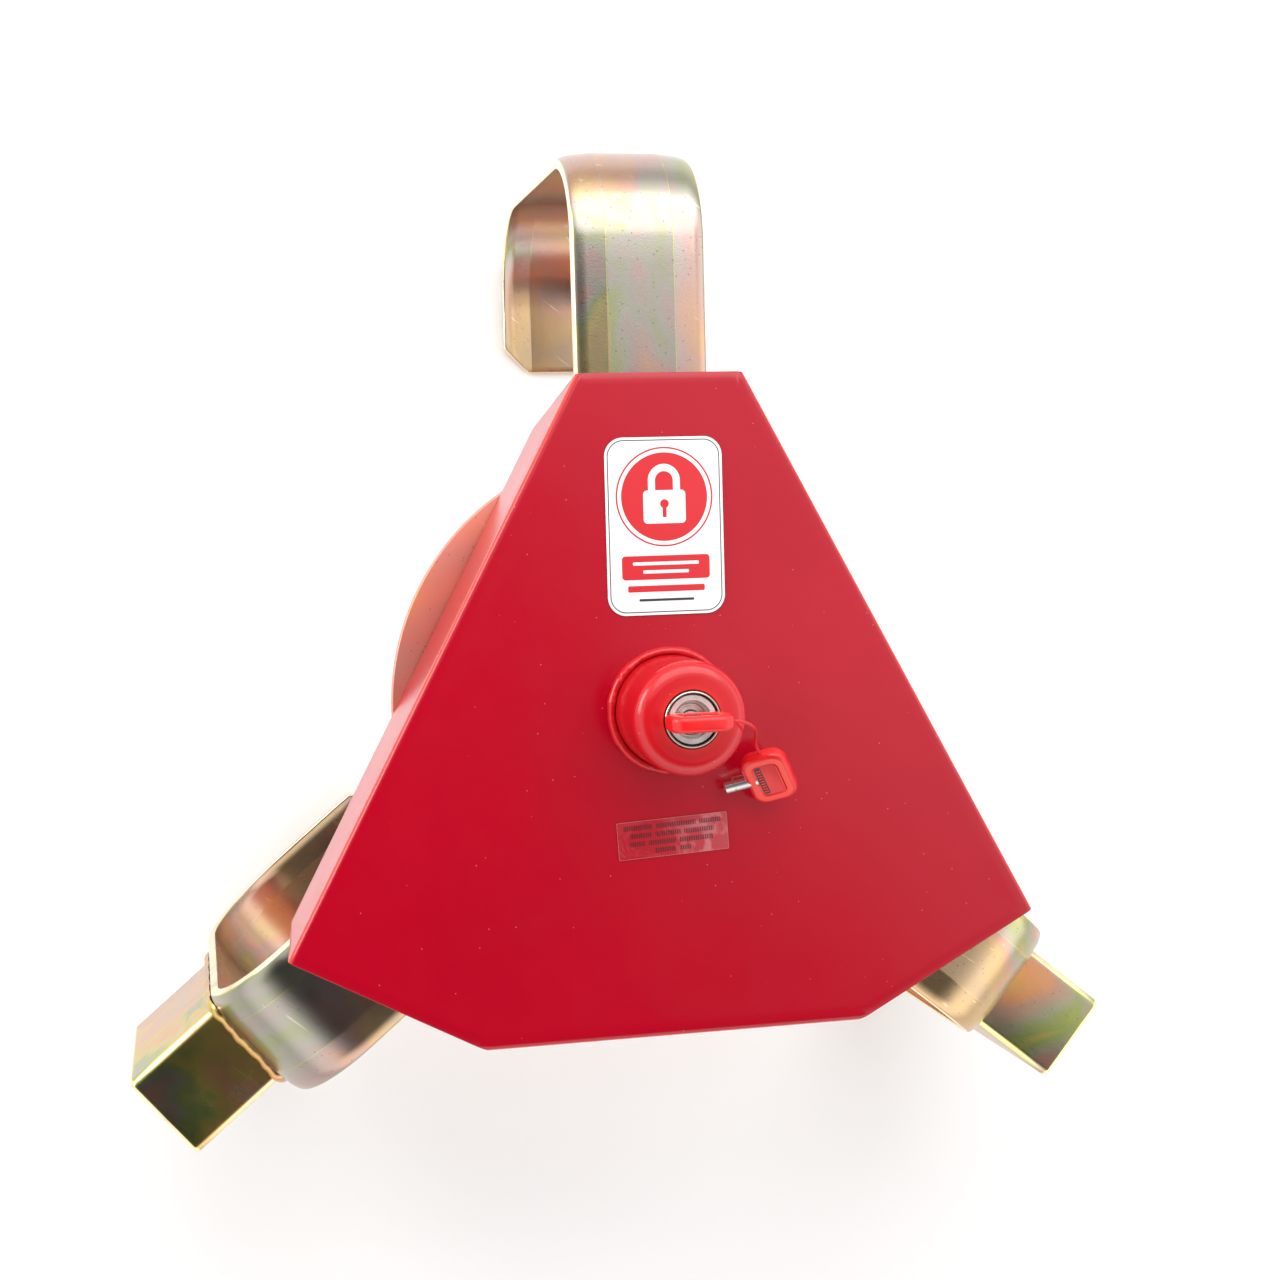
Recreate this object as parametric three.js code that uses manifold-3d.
// Three-arm wheel clamp with a push-on centre lock, in millimetres.
// +Z points out of the cover along the lock's axis, +Y towards the upper arm. The origin is the
// centre of the guard disc's wheel side, so the clamp lies on its three hooks below the origin.
import * as THREE from "three";
import { mergeVertices } from "three/addons/utils/BufferGeometryUtils.js";
import Module from "manifold-3d";

const wasm = await Module();
wasm.setup();

// ---------------------------------------------------------------- driving dimensions
const GAP = 0.3; // between faces that touch
const RUNNING = 0.1; // radial clearance of a turning piece

const DISC_RADIUS = 142;
const DISC_THICKNESS = 6;
const DISC_TO_FLANGE = 4; // air between the disc and the cover's flanges

const COVER_DEPTH = 62;
const COVER_SHEET = 3;
const COVER_TOP_Y = 180;
const COVER_SIDE_X = 206.4; // outermost corners
const COVER_SIDE_Y = -122;
const COVER_BOTTOM_HALF = 103.6;
const COVER_BOTTOM_Y = -177.3;
const FLANGE_UPPER_SLANT = 30; // the side flanges' upper ends lean back by this much

const BAR_WIDTH = 75;
const BAR_THICKNESS = 6;
const BAR_FLAT_HALF = BAR_WIDTH * 0.2534; // half width of the flat middle band
const BAR_BAND_HALF = BAR_WIDTH * 0.4; // half width out to the rolled edges
const BAR_BAND_DROP = 1.2;
const BAR_EDGE_DROP = 3.8;
const COVER_TOP_HALF = BAR_WIDTH / 2 + 7.9; // half length of the cover's short upper edge
const FLANGE_LOWER_SLANT = BAR_WIDTH * 1.48 - 101; // lets the lower arms past the flanges
const ARM_BELOW_COVER = 43; // cover's face to the bars' face
const LOWER_ARM_ANGLE = 39.7; // degrees below horizontal

const HOOK_BACK_DEPTH = 307; // cover's face to the back of the hooks
const FRONT_BEND = 53; // outer bend radii
const REAR_BEND = 66;
const BEND_STEPS = 7;
const UPPER_TREAD = 310; // lock axis to the outside of the tread leg
const LOWER_TREAD = 293;
const UPPER_TIP = 200; // lock axis to the end of the back leg
const LOWER_TIP = 150;
const UPPER_ROOT = -26; // inner end, past the stud
const LOWER_ROOT = 52;
const TIP_CUT = 16; // the back leg's corners are cut off

const STUB_WIDTH = 57; // across the arm
const STUB_DEPTH = 132; // along the wheel's width
const STUB_LENGTH = 64; // out from the tread leg, cap included
const STUB_WALL = 4;
const STUB_CORNER = 7;
const STUB_BELOW_COVER = 102;
const STUB_CAP = 4;
const STUB_WELD = 6.5;

const SCREW_RADIUS = 6;
const SCREW_HEAD_RADIUS = 11.5;
const SCREW_HEAD_SINK = 0.4; // below the disc's wheel side
const SCREW_INNER = 72; // along a lower arm
const SCREW_OUTER = 112;
const NUT_FLATS = 19;
const NUT_HEIGHT = 10;
const HOLE_CLEARANCE = 0.4;
const PACKER_START = 56;
const PACKER_END = 128;

const RAIL_WIDTH = 12;
const RAIL_START = 34;
const RAIL_END = 122;
const RAIL_PLAY = 0.8;

const BRACKET_HALF = 26;
const BRACKET_SHEET = 5;
const BRACKET_START = 48;
const BRACKET_END = 150;
const BRACKET_SCREWS = [72, 124]; // along the upper arm
const BRACKET_SCREW_RADIUS = 5;
const BRACKET_NUT_FLATS = 16;
const BRACKET_NUT_HEIGHT = 8;
const BRACKET_HEAD_HEIGHT = 6.4;

const STUD_RADIUS = 9;
const STUD_NECK_RADIUS = STUD_RADIUS - 3;
const STUD_PLAY = 0.5;
const COLLAR_RADIUS = STUD_RADIUS + 11;

const HOUSING_RADIUS = 30;
const HOUSING_HEIGHT = 52; // above the cover's face
const HOUSING_SKIRT = 8; // below the cover's face
const HOUSING_BORE = HOUSING_RADIUS - 5;
const HOUSING_RIM = 8;
const HOUSING_FRONT = 12; // thickness of the front wall
const HOUSING_WELD = 3.2;

const BARREL_RADIUS = 14.8;
const BARREL_FLANGE_RADIUS = HOUSING_BORE - 0.6;
const BARREL_RECESS = 5.6; // the face sits this deep inside the bezel
const BARREL_RECESS_RADIUS = 9.6;
const BEZEL_INNER = BARREL_RADIUS - 1.2;
const BEZEL_HEIGHT = 2.6;
const BEZEL_PROUD = 1;
const SEAL_INNER = BEZEL_INNER - 1.4;
const BARREL_LIP = 1.6; // the barrel's own ring stands this far over the bezel's seat
const SEAL_HEIGHT = 2;

const PLUG_RADIUS = 8.2;
const KEYWAY_INNER = 2.7;
const KEYWAY_OUTER = 4.6;
const KEYWAY_DEPTH = 10;
const PLUG_TAIL_SQUARE = 7.4;

const PLATE_THICKNESS = 3.5;
const LATCH_TRAVEL = 3.2;
const LATCH_TURN = 90; // degrees of key for the whole travel
const LATCH_WIDTH = 12;
const LATCH_THICKNESS = 6.2;
const LATCH_LENGTH = HOUSING_BORE - STUD_RADIUS - 2;
const LATCH_PIN_RADIUS = 1.8;
const LATCH_PIN_AT = (STUD_RADIUS + HOUSING_BORE) / 2; // pin to lock axis while open
const PLATE_RADIUS = LATCH_PIN_AT + 4.5;
const CARRIER_RADIUS = HOUSING_BORE - 0.5;
const CIRCLIP_WIRE = 1.2;

const KEY_TUBE_OUTER = 4.2;
const KEY_TUBE_INNER = 3;
const KEY_TUBE_SHOWING = 12; // below the head
const KEY_TUBE_HELD = 7; // inside the head
const KEY_HEAD_WIDTH = 33;
const KEY_HEAD_HEIGHT = 25;
const KEY_HEAD_THICKNESS = 8.4;
const KEY_HEAD_CORNER = 5;
const KEY_ABOVE_HOUSING = 2; // the inserted key's head over the housing
const CORD_DIAMETER = 1.8;

// The spare key leans on the cover: its head's centre from the lock axis and above the cover's
// face, the way its tube points, how far the tube dips, and how far the cord's side is raised.
const SPARE_CENTRE = [49.8, -35.7, 16.4];
const SPARE_HEADING = 196.6;
const SPARE_DIP = 24.5;
const SPARE_ROLL = 29.6;

const STICKER_THICKNESS = 0.3;
const STICKER_WIDTH = 64;
const STICKER_HEIGHT = 94.4;
const STICKER_CORNER = 10;
const STICKER_Y = 98.6;
const LABEL_WIDTH = 61;
const LABEL_HEIGHT = 20.4;
const LABEL_Y = -68;
const LABEL_TURN = 3; // degrees

// ---------------------------------------------------------------- worked-out heights
const COVER_FACE = DISC_THICKNESS + DISC_TO_FLANGE + COVER_DEPTH;
const BAR_FACE = COVER_FACE - ARM_BELOW_COVER;
const BAR_BACK = BAR_FACE - BAR_THICKNESS;
const HOOK_BACK = COVER_FACE - HOOK_BACK_DEPTH;
const STUB_TOP = COVER_FACE - STUB_BELOW_COVER;
const COVER_INSIDE = COVER_FACE - COVER_SHEET;
const SCREW_HEAD_HEIGHT = SCREW_HEAD_RADIUS - SCREW_RADIUS;
const HOUSING_TOP = COVER_FACE + HOUSING_HEIGHT;
const FRONT_WALL_BACK = HOUSING_TOP - HOUSING_FRONT;
const CARRIER_BOTTOM = COVER_FACE - 5;
const CHANNEL_FLOOR = COVER_FACE + 6;
const CARRIER_TOP = CHANNEL_FLOOR + LATCH_THICKNESS + 1.6;
const STUD_HEAD_FROM = CHANNEL_FLOOR + LATCH_THICKNESS + 1;
const STUD_TOP = STUD_HEAD_FROM + 5.4;
const PLATE_BOTTOM = STUD_TOP + 1;
const PLATE_TOP = PLATE_BOTTOM + PLATE_THICKNESS;
const BARREL_BACK = PLATE_TOP + 0.8;
const PLUG_FACE = HOUSING_TOP - BARREL_RECESS;
const KEY_FOOT = HOUSING_TOP + KEY_ABOVE_HOUSING;

// ---------------------------------------------------------------- materials
const finish = (color, roughness, metalness) =>
  new THREE.MeshStandardMaterial({ color, roughness, metalness });
const RED_PAINT = finish(0xd2061f, 0.25, 0);
const YELLOW_ZINC = finish(0xb3a07c, 0.3, 1);
const STEEL = finish(0x9a9c9e, 0.35, 1);
const CHROME = finish(0xc9cbcd, 0.12, 1);
const RUBBER = finish(0x1b1b1c, 0.7, 0);
const KEY_PLASTIC = finish(0xe0241b, 0.3, 0);
const CORD_RED = finish(0xc81d24, 0.8, 0);
const STICKER_WHITE = finish(0xf4f2f0, 0.4, 0);
const LABEL_FILM = finish(0xb98088, 0.3, 0);

// ---------------------------------------------------------------- shape helpers
const radians = THREE.MathUtils.degToRad;
const part = new THREE.Group();

function add(name, geometry, material, parent = part) {
  const mesh = new THREE.Mesh(geometry, material);
  mesh.name = name;
  parent.add(mesh);
  return mesh;
}

// Turned shape: [radius, height] points of a closed profile, about the Z axis.
function lathe(points, segments = 28) {
  const profile = points.map(([r, z]) => new THREE.Vector2(Math.max(r, 0), z));
  const closed = profile[0].x > 0 || profile[profile.length - 1].x > 0;
  if (closed) profile.push(profile[0].clone());
  return new THREE.LatheGeometry(profile, segments).rotateX(Math.PI / 2);
}

const ring = (inner, outer, bottom, top, segments) =>
  lathe([[inner, bottom], [outer, bottom], [outer, top], [inner, top]], segments);

const rod = (radius, bottom, top, segments) =>
  lathe([[0, bottom], [radius, bottom], [radius, top], [0, top]], segments);

function outline(points) {
  return new THREE.Shape(points.map(([x, y]) => new THREE.Vector2(x, y)));
}

function slab(shape, bottom, top, curveSegments = 10) {
  const depth = top - bottom;
  const made = new THREE.ExtrudeGeometry(shape, { depth, bevelEnabled: false, curveSegments });
  return made.translate(0, 0, bottom);
}

function block(x0, x1, y0, y1, z0, z1) {
  const made = new THREE.BoxGeometry(x1 - x0, y1 - y0, z1 - z0);
  return made.translate((x0 + x1) / 2, (y0 + y1) / 2, (z0 + z1) / 2);
}

function roundedRectangle(width, height, corner) {
  const x = width / 2;
  const y = height / 2;
  const shape = new THREE.Shape();
  shape.moveTo(-x + corner, -y);
  shape.lineTo(x - corner, -y);
  shape.absarc(x - corner, -y + corner, corner, -Math.PI / 2, 0);
  shape.absarc(x - corner, y - corner, corner, 0, Math.PI / 2);
  shape.absarc(-x + corner, y - corner, corner, Math.PI / 2, Math.PI);
  shape.absarc(-x + corner, -y + corner, corner, Math.PI, Math.PI * 1.5);
  return shape;
}

function hexagon(flats) {
  const corner = flats / Math.sqrt(3);
  const at = (i) => [corner * Math.cos((i * Math.PI) / 3), corner * Math.sin((i * Math.PI) / 3)];
  return outline([0, 1, 2, 3, 4, 5].map(at));
}

// ---------------------------------------------------------------- joining and cutting
function solid(geometry) {
  const bare = new THREE.BufferGeometry();
  const flat = geometry.index ? geometry.toNonIndexed() : geometry;
  bare.setAttribute("position", flat.getAttribute("position"));
  const merged = mergeVertices(bare, 1e-4);
  return new wasm.Manifold(
    new wasm.Mesh({
      numProp: 3,
      vertProperties: merged.attributes.position.array,
      triVerts: new Uint32Array(merged.index.array),
    }),
  );
}

function geometryOf(manifold) {
  const mesh = manifold.getMesh();
  const made = new THREE.BufferGeometry();
  made.setAttribute("position", new THREE.BufferAttribute(new Float32Array(mesh.vertProperties), 3));
  made.setIndex(new THREE.BufferAttribute(new Uint32Array(mesh.triVerts), 1));
  const flat = made.toNonIndexed();
  flat.computeVertexNormals();
  return flat;
}

function cut(geometry, ...tools) {
  let left = solid(geometry);
  for (const tool of tools) left = left.subtract(solid(tool));
  return geometryOf(left);
}

function join(...pieces) {
  return geometryOf(pieces.map(solid).reduce((all, piece) => all.add(piece)));
}

// ---------------------------------------------------------------- hook bars
// The bar's own path, in the plane of the arm: distance from the lock axis, then height. It is the
// outer face's line, so that each bend is an arc of the outer radius and the bar lies inside it.
class HookPath extends THREE.Curve {
  constructor(root, tread, tip) {
    super();
    this.stations = [[root, BAR_FACE]];
    this.arc(tread - FRONT_BEND, BAR_FACE - FRONT_BEND, FRONT_BEND, 90);
    this.arc(tread - REAR_BEND, HOOK_BACK + REAR_BEND, REAR_BEND, 0);
    this.stations.push([tip, HOOK_BACK]);
  }

  // A quarter turn, clockwise, from the angle given.
  arc(centre, height, radius, from) {
    for (let i = 0; i <= BEND_STEPS; i++) {
      const turn = radians(from - (90 * i) / BEND_STEPS);
      this.stations.push([centre + radius * Math.cos(turn), height + radius * Math.sin(turn)]);
    }
  }

  // Stations are spread evenly over t, so that the bends get their own steps.
  getUtoTmapping(u) {
    return u;
  }

  getPoint(t, target = new THREE.Vector3()) {
    const along = Math.min(t, 1) * (this.stations.length - 1);
    const from = Math.min(Math.floor(along), this.stations.length - 2);
    const [a, b] = [this.stations[from], this.stations[from + 1]];
    const share = along - from;
    return target.set(0, a[0] + (b[0] - a[0]) * share, a[1] + (b[1] - a[1]) * share);
  }
}

// Cross-section: a flat middle, two side bands that lean towards the wheel, and rolled edges.
// Its first axis is depth below the outer face and its second runs across the bar.
function barSection() {
  const half = BAR_WIDTH / 2;
  const between = (BAR_BAND_HALF + half) / 2;
  const betweenDrop = (BAR_BAND_DROP + BAR_EDGE_DROP) / 2 - 0.4;
  const right = [
    [0, BAR_FLAT_HALF],
    [BAR_BAND_DROP, BAR_BAND_HALF],
    [betweenDrop, between],
    [BAR_EDGE_DROP, half],
  ];
  const left = right.map(([depth, across]) => [depth, -across]).reverse();
  const outer = [...left, ...right];
  const inner = outer.map(([depth, across]) => [depth + BAR_THICKNESS, across]).reverse();
  return outline([...outer, ...inner]);
}

// A hook bar that points along +Y, with its screw and stud holes and its cut tip corners.
function hookBar(root, tread, tip, holes) {
  const path = new HookPath(root, tread, tip);
  const made = new THREE.ExtrudeGeometry(barSection(), {
    steps: path.stations.length - 1,
    extrudePath: path,
    bevelEnabled: false,
  });
  const drills = holes.map(([y, radius]) =>
    rod(radius, BAR_BACK - BAR_EDGE_DROP - 5, BAR_FACE + 5, 16).translate(0, y, 0),
  );
  const half = BAR_WIDTH / 2;
  const corner = (side) => {
    const shape = outline([
      [side * (half + 5), tip - 5],
      [side * (half + 5), tip + TIP_CUT + 5],
      [side * (half - TIP_CUT - 5), tip - 5],
    ]);
    return slab(shape, HOOK_BACK - 5, HOOK_BACK + BAR_THICKNESS + BAR_EDGE_DROP + 5);
  };
  return cut(made, ...drills, corner(1), corner(-1));
}

// ---------------------------------------------------------------- lower half, left on the wheel
function armPlace(side) {
  const group = new THREE.Group();
  group.rotation.z = side < 0 ? radians(90 + LOWER_ARM_ANGLE) : -radians(90 + LOWER_ARM_ANGLE);
  part.add(group);
  return group;
}

// The disc's countersunk holes lie under the arm screws.
function guardDisc() {
  const edge = 1;
  const profile = [
    [0, 0],
    [DISC_RADIUS - edge, 0],
    [DISC_RADIUS, edge],
    [DISC_RADIUS, DISC_THICKNESS - edge],
    [DISC_RADIUS - edge, DISC_THICKNESS],
    [0, DISC_THICKNESS],
  ];
  const holes = [];
  for (const side of [-1, 1]) {
    for (const at of [SCREW_INNER, SCREW_OUTER]) {
      const head = SCREW_HEAD_RADIUS + 2 * HOLE_CLEARANCE;
      const shank = SCREW_RADIUS + HOLE_CLEARANCE;
      const hole = lathe([
        [0, -1],
        [head + 1, -1],
        [head, 0],
        [shank, head - shank],
        [shank, DISC_THICKNESS + 1],
        [0, DISC_THICKNESS + 1],
      ], 16);
      const angle = radians(90 + side * (90 + LOWER_ARM_ANGLE));
      holes.push(hole.translate(at * Math.cos(angle), at * Math.sin(angle), 0));
    }
  }
  return cut(lathe(profile, 48), ...holes);
}

function armScrew() {
  const bottom = SCREW_HEAD_SINK;
  const top = BAR_FACE + NUT_HEIGHT + 3;
  return lathe([
    [0, bottom],
    [SCREW_HEAD_RADIUS - SCREW_HEAD_SINK, bottom],
    [SCREW_RADIUS, bottom + SCREW_HEAD_HEIGHT],
    [SCREW_RADIUS, top - 1],
    [SCREW_RADIUS - 1, top],
    [0, top],
  ], 16);
}

function nut(flats, bore, bottom, height) {
  const shape = hexagon(flats);
  shape.holes.push(new THREE.Path().absarc(0, 0, bore, 0, Math.PI * 2, true));
  return slab(shape, bottom, bottom + height, 8);
}

function packer() {
  const half = BAR_WIDTH / 2 - 2;
  const bottom = DISC_THICKNESS + GAP;
  const body = block(-half, half, PACKER_START, PACKER_END, bottom, BAR_BACK - BAR_EDGE_DROP - GAP);
  const strip = block(
    -BAR_FLAT_HALF + 1, BAR_FLAT_HALF - 1, PACKER_START, PACKER_END, bottom, BAR_BACK - GAP,
  );
  const holes = [SCREW_INNER, SCREW_OUTER].map((y) =>
    rod(SCREW_RADIUS + HOLE_CLEARANCE, 0, BAR_FACE, 16).translate(0, y, 0),
  );
  return cut(join(body, strip), ...holes);
}

// The stub's tube runs along the arm: drawn upright, then laid down with its foot on the tread leg.
function layStub(geometry) {
  const height = STUB_TOP - STUB_DEPTH / 2;
  return geometry.rotateX(-Math.PI / 2).translate(0, LOWER_TREAD + GAP, height);
}

function stubTube() {
  const shape = roundedRectangle(STUB_WIDTH, STUB_DEPTH, STUB_CORNER);
  shape.holes.push(
    new THREE.Path(
      roundedRectangle(
        STUB_WIDTH - 2 * STUB_WALL, STUB_DEPTH - 2 * STUB_WALL, STUB_CORNER - STUB_WALL,
      ).getPoints(3),
    ),
  );
  return layStub(slab(shape, 0, STUB_LENGTH - STUB_CAP - GAP, 3));
}

function stubCap() {
  const lip = 1;
  const shape = roundedRectangle(STUB_WIDTH - 2 * lip, STUB_DEPTH - 2 * lip, STUB_CORNER - lip);
  const plate = new THREE.ExtrudeGeometry(shape, {
    depth: STUB_CAP - 2 * lip,
    bevelThickness: lip,
    bevelSize: lip,
    bevelSegments: 1,
    curveSegments: 3,
  });
  return layStub(plate.translate(0, 0, STUB_LENGTH - STUB_CAP + lip));
}

// Weld bead round the stub's foot: wide on the tread leg, narrow against the tube.
function stubWeld() {
  const slope = STUB_WELD - 1.5;
  const inner = roundedRectangle(
    STUB_WIDTH + 2 * GAP, STUB_DEPTH + 2 * GAP, STUB_CORNER + GAP,
  ).getPoints(3);
  const shape = roundedRectangle(STUB_WIDTH + 4, STUB_DEPTH + 4, STUB_CORNER + 2);
  const bead = new THREE.ExtrudeGeometry(shape, {
    depth: 1,
    bevelThickness: slope / 2,
    bevelSize: slope / 2,
    bevelSegments: 2,
    curveSegments: 2,
  }).translate(0, 0, slope / 2);
  const bore = slab(outline(inner.map(({ x, y }) => [x, y])), -1, STUB_WELD + 1);
  return layStub(cut(bead, bore));
}

function lowerHalf() {
  add("guard_disc", guardDisc(), YELLOW_ZINC);
  const collarTop = BAR_BACK - BAR_EDGE_DROP - 1;
  add("stud_collar", lathe([
    [STUD_RADIUS + GAP, DISC_THICKNESS + GAP],
    [COLLAR_RADIUS, DISC_THICKNESS + GAP],
    [COLLAR_RADIUS, collarTop - 4],
    [COLLAR_RADIUS - 6, collarTop],
    [STUD_RADIUS + GAP, collarTop],
  ], 32), YELLOW_ZINC);
  add("lock_stud", lathe([
    [0, DISC_THICKNESS + GAP],
    [STUD_RADIUS, DISC_THICKNESS + GAP],
    [STUD_RADIUS, CHANNEL_FLOOR - 2],
    [STUD_NECK_RADIUS, CHANNEL_FLOOR - 0.5],
    [STUD_NECK_RADIUS, STUD_HEAD_FROM],
    [STUD_RADIUS, STUD_HEAD_FROM],
    [STUD_RADIUS, STUD_TOP - 3],
    [STUD_NECK_RADIUS - 1, STUD_TOP],
    [0, STUD_TOP],
  ], 32), STEEL);
  for (const [side, name] of [[-1, "left"], [1, "right"]]) {
    const place = armPlace(side);
    const shank = SCREW_RADIUS + HOLE_CLEARANCE;
    const holes = [[SCREW_INNER, shank], [SCREW_OUTER, shank]];
    const bar = hookBar(LOWER_ROOT, LOWER_TREAD, LOWER_TIP, holes);
    add(`lower_arm_${name}`, bar, YELLOW_ZINC, place);
    add(`arm_packer_${name}`, packer(), YELLOW_ZINC, place);
    for (const [y, where] of [[SCREW_INNER, "inner"], [SCREW_OUTER, "outer"]]) {
      add(`arm_screw_${name}_${where}`, armScrew(), STEEL, place).position.y = y;
      const made = nut(NUT_FLATS, SCREW_RADIUS + GAP, BAR_FACE + GAP, NUT_HEIGHT);
      add(`arm_nut_${name}_${where}`, made, STEEL, place).position.y = y;
    }
    add(`stub_tube_${name}`, stubTube(), YELLOW_ZINC, place);
    add(`stub_cap_${name}`, stubCap(), YELLOW_ZINC, place);
    add(`stub_weld_${name}`, stubWeld(), YELLOW_ZINC, place);
    const near = side * (BAR_WIDTH / 2 + RAIL_PLAY);
    const far = near + side * RAIL_WIDTH;
    const rail = block(
      Math.min(near, far), Math.max(near, far),
      RAIL_START, RAIL_END, DISC_THICKNESS + GAP, BAR_FACE - 2,
    );
    add(`guide_rail_${name}`, rail, YELLOW_ZINC);
  }
}

// ---------------------------------------------------------------- upper half, which the key frees
const COVER_CORNERS = [
  [-COVER_TOP_HALF, COVER_TOP_Y],
  [-COVER_SIDE_X, COVER_SIDE_Y],
  [-COVER_BOTTOM_HALF, COVER_BOTTOM_Y],
  [COVER_BOTTOM_HALF, COVER_BOTTOM_Y],
  [COVER_SIDE_X, COVER_SIDE_Y],
  [COVER_TOP_HALF, COVER_TOP_Y],
];

// Everything a long edge's flange leaves free: the sheet's inside, open past the short edges.
function coverInside() {
  const [topLeft, sideLeft, bottomLeft] = COVER_CORNERS.map(([x, y]) => new THREE.Vector2(x, y));
  const along = sideLeft.clone().sub(topLeft).normalize();
  const inward = new THREE.Vector2(-along.y, along.x);
  const past = 60;
  const upper = topLeft.clone().addScaledVector(inward, COVER_SHEET).addScaledVector(along, -past);
  const lower = sideLeft.clone().addScaledVector(inward, COVER_SHEET).addScaledVector(along, past);
  const bottomY = COVER_BOTTOM_Y + COVER_SHEET;
  const floor = [bottomLeft.x - past, bottomY];
  const left = [[upper.x, upper.y], [lower.x, lower.y], floor];
  const right = left.map(([x, y]) => [-x, y]).reverse();
  return [...left, ...right];
}

// Wedges that lean a side flange's two ends back, so that it clears the arms.
function flangeEnds(side) {
  const [x, y] = COVER_CORNERS[0];
  const [farX, farY] = COVER_CORNERS[1];
  const length = Math.hypot(farX - x, farY - y);
  const past = 40;
  const below = COVER_SHEET + 0.5;
  const upper = outline([
    [-past, -below],
    [0, -below],
    [FLANGE_UPPER_SLANT, -COVER_DEPTH],
    [FLANGE_UPPER_SLANT, -COVER_DEPTH - 5],
    [-past, -COVER_DEPTH - 5],
  ]);
  const lower = outline([
    [length + past, -below],
    [length, -below],
    [length - FLANGE_LOWER_SLANT, -COVER_DEPTH],
    [length - FLANGE_LOWER_SLANT, -COVER_DEPTH - 5],
    [length + past, -COVER_DEPTH - 5],
  ]);
  // Drawn along the flange and down from the face, then stood up on the flange.
  return [upper, lower].map((wedge) => {
    const made = slab(wedge, -20, 20).rotateX(Math.PI / 2);
    made.rotateZ(Math.atan2(farY - y, farX - x)).translate(x, y, COVER_FACE);
    return side < 0 ? made : mirrored(made);
  });
}

function mirrored(geometry) {
  const flipped = geometry.index ? geometry.toNonIndexed() : geometry.clone();
  const place = flipped.getAttribute("position");
  const turned = new Float32Array(place.count * 3);
  for (let i = 0; i < place.count; i++) {
    const from = i % 3 === 0 ? i : i + (i % 3 === 1 ? 1 : -1);
    turned.set([-place.getX(from), place.getY(from), place.getZ(from)], i * 3);
  }
  const made = new THREE.BufferGeometry();
  return made.setAttribute("position", new THREE.BufferAttribute(turned, 3));
}

function cover() {
  const bottom = COVER_FACE - COVER_DEPTH;
  const outside = slab(outline(COVER_CORNERS), bottom, COVER_FACE);
  const inside = slab(outline(coverInside()), bottom - 5, COVER_INSIDE);
  const opening = rod(HOUSING_RADIUS + GAP, bottom, COVER_FACE + 5, 32);
  return cut(outside, inside, opening, ...flangeEnds(-1), ...flangeEnds(1));
}

function lockHousing() {
  const bottom = COVER_FACE - HOUSING_SKIRT;
  const clip = CARRIER_BOTTOM - GAP;
  const groove = HOUSING_BORE + CIRCLIP_WIRE;
  const rim = [];
  for (let i = 0; i <= 4; i++) {
    const turn = radians(22.5 * i);
    rim.push([
      HOUSING_RADIUS - HOUSING_RIM + HOUSING_RIM * Math.cos(turn),
      HOUSING_TOP - HOUSING_RIM + HOUSING_RIM * Math.sin(turn),
    ]);
  }
  return lathe([
    [HOUSING_BORE, bottom],
    [HOUSING_RADIUS, bottom],
    ...rim,
    [BARREL_RADIUS + GAP, HOUSING_TOP],
    [BARREL_RADIUS + GAP, FRONT_WALL_BACK],
    [HOUSING_BORE, FRONT_WALL_BACK],
    [HOUSING_BORE, clip],
    [groove, clip],
    [groove, clip - CIRCLIP_WIRE - 2 * GAP],
    [HOUSING_BORE, clip - CIRCLIP_WIRE - 2 * GAP],
  ], 32);
}

function housingWeld() {
  const inner = HOUSING_RADIUS + GAP;
  const bottom = COVER_FACE + GAP;
  return lathe([
    [inner, bottom],
    [inner + HOUSING_WELD, bottom],
    [inner + HOUSING_WELD * 0.75, bottom + HOUSING_WELD * 0.7],
    [inner + HOUSING_WELD * 0.3, bottom + HOUSING_WELD * 1.2],
    [inner, bottom + HOUSING_WELD * 1.3],
  ], 32);
}

// A channel on its back: its web lies on the upper arm and its two sides meet the cover.
function armBracket() {
  const bottom = BAR_FACE + GAP;
  const top = COVER_INSIDE - GAP;
  const sides = [-1, 1].map((side) => {
    const x = side * (BRACKET_HALF - BRACKET_SHEET);
    const [x0, x1] = side < 0 ? [-BRACKET_HALF, x] : [x, BRACKET_HALF];
    return block(x0, x1, BRACKET_START, BRACKET_END, bottom, top);
  });
  const web = block(
    -BRACKET_HALF, BRACKET_HALF, BRACKET_START, BRACKET_END, bottom, bottom + BRACKET_SHEET,
  );
  const holes = BRACKET_SCREWS.map((y) =>
    rod(BRACKET_SCREW_RADIUS + HOLE_CLEARANCE, 0, bottom + 20, 16).translate(0, y, 0),
  );
  return cut(join(web, ...sides), ...holes);
}

function bracketScrew() {
  const under = BAR_BACK - GAP;
  const head = slab(hexagon(BRACKET_NUT_FLATS), under - BRACKET_HEAD_HEIGHT, under);
  const top = BAR_FACE + BRACKET_SHEET + BRACKET_NUT_HEIGHT + 4;
  return join(head, rod(BRACKET_SCREW_RADIUS, under - 1, top, 16));
}

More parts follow.
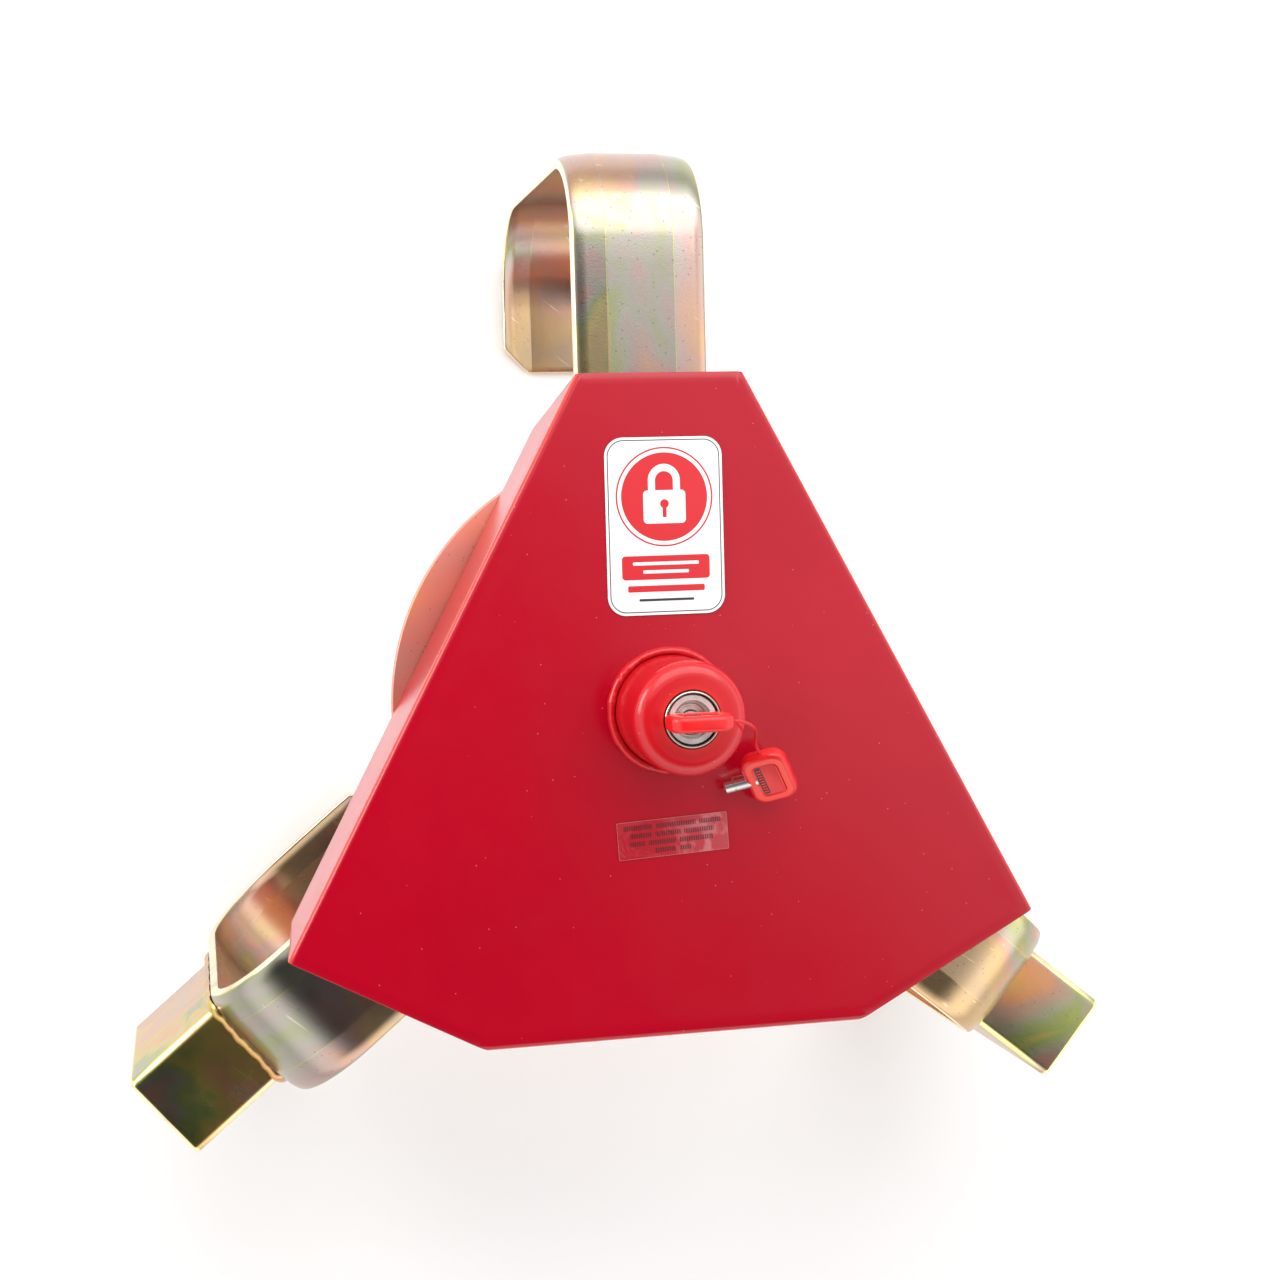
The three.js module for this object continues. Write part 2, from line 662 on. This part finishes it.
function upperHalf() {
  add("cover", cover(), RED_PAINT);
  add("lock_housing", lockHousing(), RED_PAINT);
  add("housing_weld", housingWeld(), RED_PAINT);
  const holes = BRACKET_SCREWS.map((y) => [y, BRACKET_SCREW_RADIUS + HOLE_CLEARANCE]);
  const bar = hookBar(UPPER_ROOT, UPPER_TREAD, UPPER_TIP, [[0, STUD_RADIUS + STUD_PLAY], ...holes]);
  add("upper_arm", bar, YELLOW_ZINC);
  add("arm_bracket", armBracket(), YELLOW_ZINC);
  const nutBottom = BAR_FACE + GAP + BRACKET_SHEET + GAP;
  for (const [i, where] of ["inner", "outer"].entries()) {
    const y = BRACKET_SCREWS[i];
    add(`bracket_screw_${where}`, bracketScrew(), STEEL).position.y = y;
    const bore = BRACKET_SCREW_RADIUS + GAP;
    const made = nut(BRACKET_NUT_FLATS, bore, nutBottom, BRACKET_NUT_HEIGHT);
    add(`bracket_nut_${where}`, made, STEEL).position.y = y;
  }
}

// ---------------------------------------------------------------- lock
function barrel() {
  const flangeTop = FRONT_WALL_BACK - GAP;
  const seat = HOUSING_TOP + BEZEL_PROUD - BEZEL_HEIGHT - GAP;
  const sealSeat = seat - SEAL_HEIGHT;
  return lathe([
    [PLUG_RADIUS + RUNNING, BARREL_BACK],
    [BARREL_FLANGE_RADIUS, BARREL_BACK],
    [BARREL_FLANGE_RADIUS, flangeTop],
    [BARREL_RADIUS, flangeTop],
    [BARREL_RADIUS, seat],
    [BEZEL_INNER - GAP, seat],
    [BEZEL_INNER - GAP, sealSeat - GAP],
    [SEAL_INNER - GAP, sealSeat - GAP],
    [SEAL_INNER - GAP, seat + BARREL_LIP],
    [BARREL_RECESS_RADIUS, seat + BARREL_LIP],
    [BARREL_RECESS_RADIUS, PLUG_FACE],
    [PLUG_RADIUS + RUNNING, PLUG_FACE],
  ], 32);
}

function plug() {
  const body = lathe([
    [0, BARREL_BACK],
    [PLUG_RADIUS, BARREL_BACK],
    [PLUG_RADIUS, PLUG_FACE],
    [KEYWAY_OUTER, PLUG_FACE],
    [KEYWAY_OUTER, PLUG_FACE - KEYWAY_DEPTH],
    [KEYWAY_INNER, PLUG_FACE - KEYWAY_DEPTH],
    [KEYWAY_INNER, PLUG_FACE - 0.6],
    [KEYWAY_INNER - 0.6, PLUG_FACE],
    [0, PLUG_FACE],
  ], 32);
  const half = PLUG_TAIL_SQUARE / 2;
  return join(body, block(-half, half, -half, half, PLATE_BOTTOM + GAP, BARREL_BACK + 1));
}

// A spiral slot's outline. As the plate turns, the slot draws a latch bolt's pin in evenly.
function scrollSlot(from) {
  const width = LATCH_PIN_RADIUS + HOLE_CLEARANCE;
  const steps = 8;
  const station = (i) => ({
    turn: radians(from + (LATCH_TURN * i) / steps),
    radius: LATCH_PIN_AT - (LATCH_TRAVEL * i) / steps,
  });
  const side = (offset) =>
    Array.from({ length: steps + 1 }, (_, i) => {
      const { turn, radius } = station(i);
      return new THREE.Vector2(Math.cos(turn), Math.sin(turn)).multiplyScalar(radius + offset);
    });
  const roundEnd = (i, start) => {
    const { turn, radius } = station(i);
    const middle = new THREE.Vector2(Math.cos(turn), Math.sin(turn)).multiplyScalar(radius);
    return [45, 90, 135].map((step) => {
      const angle = turn + radians(start + step);
      return new THREE.Vector2(Math.cos(angle), Math.sin(angle)).multiplyScalar(width).add(middle);
    });
  };
  const inner = side(-width).reverse();
  return [...side(width), ...roundEnd(steps, 0), ...inner, ...roundEnd(0, 180)];
}

function scrollPlate() {
  const shape = new THREE.Shape().absarc(0, 0, PLATE_RADIUS, 0, Math.PI * 2);
  const half = PLUG_TAIL_SQUARE / 2 + 0.2;
  const square = [[-half, -half], [-half, half], [half, half], [half, -half]];
  shape.holes.push(new THREE.Path(square.map(([x, y]) => new THREE.Vector2(x, y))));
  shape.holes.push(new THREE.Path(scrollSlot(90)), new THREE.Path(scrollSlot(270)));
  return slab(shape, PLATE_BOTTOM, PLATE_TOP, 14);
}

function latchBolt() {
  const inner = STUD_RADIUS + 0.8;
  const bottom = CHANNEL_FLOOR + GAP;
  const top = bottom + LATCH_THICKNESS;
  const half = LATCH_WIDTH / 2;
  const body = block(-half, half, inner, inner + LATCH_LENGTH, bottom, top);
  const pin = rod(LATCH_PIN_RADIUS, top - 1, PLATE_TOP - 0.4, 12).translate(0, LATCH_PIN_AT, 0);
  return join(body, pin);
}

function latchCarrier() {
  const bore = STUD_RADIUS + STUD_PLAY;
  const body = ring(bore, CARRIER_RADIUS, CARRIER_BOTTOM, CARRIER_TOP, 32);
  const half = LATCH_WIDTH / 2 + 0.2;
  const reach = CARRIER_RADIUS + 5;
  const channel = block(-half, half, -reach, reach, CHANNEL_FLOOR, CARRIER_TOP + 5);
  return cut(body, channel);
}

function circlip() {
  const clip = CARRIER_BOTTOM - GAP;
  const outer = HOUSING_BORE + CIRCLIP_WIRE - GAP;
  const body = ring(HOUSING_BORE - 3.5, outer, clip - CIRCLIP_WIRE - GAP, clip - GAP, 32);
  return cut(body, block(-5, 5, -HOUSING_RADIUS, 0, clip - 10, clip + 5));
}

function lock() {
  add("lock_barrel", barrel(), STEEL);
  const seat = HOUSING_TOP + BEZEL_PROUD - BEZEL_HEIGHT;
  add("bezel_ring", lathe([
    [BEZEL_INNER, seat],
    [BARREL_RADIUS, seat],
    [BARREL_RADIUS, seat + BEZEL_HEIGHT - 0.8],
    [BARREL_RADIUS - 0.8, seat + BEZEL_HEIGHT],
    [BEZEL_INNER, seat + BEZEL_HEIGHT],
  ], 32), CHROME);
  const sealTop = seat + 0.8;
  add("dust_seal", ring(
    SEAL_INNER, BEZEL_INNER - 2 * GAP, seat - SEAL_HEIGHT, sealTop, 32,
  ), RUBBER);
  add("latch_carrier", latchCarrier(), STEEL);
  add("circlip", circlip(), STEEL);
  add("lock_plug", plug(), STEEL);
  add("scroll_plate", scrollPlate(), STEEL);
  add("latch_bolt_front", latchBolt(), STEEL);
  const back = new THREE.Group();
  back.rotation.z = Math.PI;
  part.add(back);
  add("latch_bolt_back", latchBolt(), STEEL, back);
}

// ---------------------------------------------------------------- keys
// A key stands on its head's foot at height 0, with its tube below and its head's width along X.
function keyTube() {
  return ring(KEY_TUBE_INNER, KEY_TUBE_OUTER, -KEY_TUBE_SHOWING, KEY_TUBE_HELD, 16);
}

function keyHead() {
  const soft = 1.6;
  const shape = roundedRectangle(KEY_HEAD_WIDTH, KEY_HEAD_HEIGHT, KEY_HEAD_CORNER);
  const bow = new THREE.ExtrudeGeometry(shape, {
    depth: KEY_HEAD_THICKNESS - 2 * soft,
    bevelThickness: soft,
    bevelSize: soft,
    bevelOffset: -soft,
    bevelSegments: 1,
    curveSegments: 3,
  });
  bow.translate(0, 0, soft - KEY_HEAD_THICKNESS / 2).rotateX(Math.PI / 2);
  bow.translate(0, 0, KEY_HEAD_HEIGHT / 2);
  const wall = 1.4;
  const collar = rod(KEY_TUBE_OUTER + GAP + wall, 0, KEY_TUBE_HELD + wall, 16);
  const socket = rod(KEY_TUBE_OUTER + GAP, -1, KEY_TUBE_HELD + GAP, 16);
  return cut(join(bow, collar), socket);
}

// The cord's route, from the inserted key's side to the raised side of the spare key's head. Its
// heights are above the cover's face.
const CORD_ROUTE = [
  [16.9, 0.0, 67.0],
  [19.6, -0.2, 67.2],
  [22.3, -0.8, 66.8],
  [24.9, -1.7, 65.6],
  [27.3, -2.9, 63.4],
  [29.5, -4.4, 60.3],
  [31.5, -6.1, 56.3],
  [33.3, -7.9, 51.6],
  [34.8, -9.7, 46.5],
  [36.1, -11.5, 41.3],
  [37.3, -13.3, 36.3],
  [38.4, -15.1, 31.8],
  [39.5, -17.1, 28.2],
  [40.8, -19.5, 25.9],
  [42.2, -22.1, 24.3],
];

function cord() {
  const points = CORD_ROUTE.map(([x, y, z]) => new THREE.Vector3(x, y, COVER_FACE + z));
  const route = new THREE.CatmullRomCurve3(points);
  const circle = new THREE.Shape();
  const sides = 8;
  for (let i = 0; i < sides; i++) {
    const turn = (i * 2 * Math.PI) / sides;
    const x = (CORD_DIAMETER / 2) * Math.cos(turn);
    const y = (CORD_DIAMETER / 2) * Math.sin(turn);
    if (i === 0) circle.moveTo(x, y);
    else circle.lineTo(x, y);
  }
  return new THREE.ExtrudeGeometry(circle, { steps: 20, extrudePath: route, bevelEnabled: false });
}

// Places the spare key by its heading, dip and roll.
function spareKeyPlace() {
  const heading = radians(SPARE_HEADING);
  const dip = radians(SPARE_DIP);
  const roll = radians(SPARE_ROLL);
  const tube = new THREE.Vector3(
    Math.cos(dip) * Math.cos(heading), Math.cos(dip) * Math.sin(heading), -Math.sin(dip),
  );
  const level = new THREE.Vector3(Math.sin(heading), -Math.cos(heading), 0);
  const raised = new THREE.Vector3().crossVectors(tube, level);
  if (raised.z < 0) raised.negate();
  const width = level.multiplyScalar(Math.cos(roll)).addScaledVector(raised, Math.sin(roll));
  const up = tube.clone().negate();
  const thickness = new THREE.Vector3().crossVectors(up, width);
  const place = new THREE.Group();
  place.setRotationFromMatrix(new THREE.Matrix4().makeBasis(width, thickness, up));
  const [x, y, z] = SPARE_CENTRE;
  place.position.set(x, y, COVER_FACE + z).addScaledVector(up, -KEY_HEAD_HEIGHT / 2);
  return place;
}

function keys() {
  const inLock = new THREE.Group();
  inLock.position.z = KEY_FOOT;
  part.add(inLock);
  add("key_tube", keyTube(), CHROME, inLock);
  add("key_head", keyHead(), KEY_PLASTIC, inLock);
  const spare = spareKeyPlace();
  part.add(spare);
  add("spare_key_tube", keyTube(), CHROME, spare);
  add("spare_key_head", keyHead(), KEY_PLASTIC, spare);
  add("key_cord", cord(), CORD_RED);
}

// ---------------------------------------------------------------- stickers
function stickers() {
  const bottom = COVER_FACE + GAP;
  const top = bottom + STICKER_THICKNESS;
  const emblem = roundedRectangle(STICKER_WIDTH, STICKER_HEIGHT, STICKER_CORNER);
  add("emblem_sticker", slab(emblem, bottom, top, 6), STICKER_WHITE).position.y = STICKER_Y;
  const notice = slab(roundedRectangle(LABEL_WIDTH, LABEL_HEIGHT, 0.8), bottom, top, 2);
  const label = add("notice_label", notice, LABEL_FILM);
  label.position.y = LABEL_Y;
  label.rotation.z = radians(LABEL_TURN);
}

lowerHalf();
upperHalf();
lock();
keys();
stickers();

export default part;
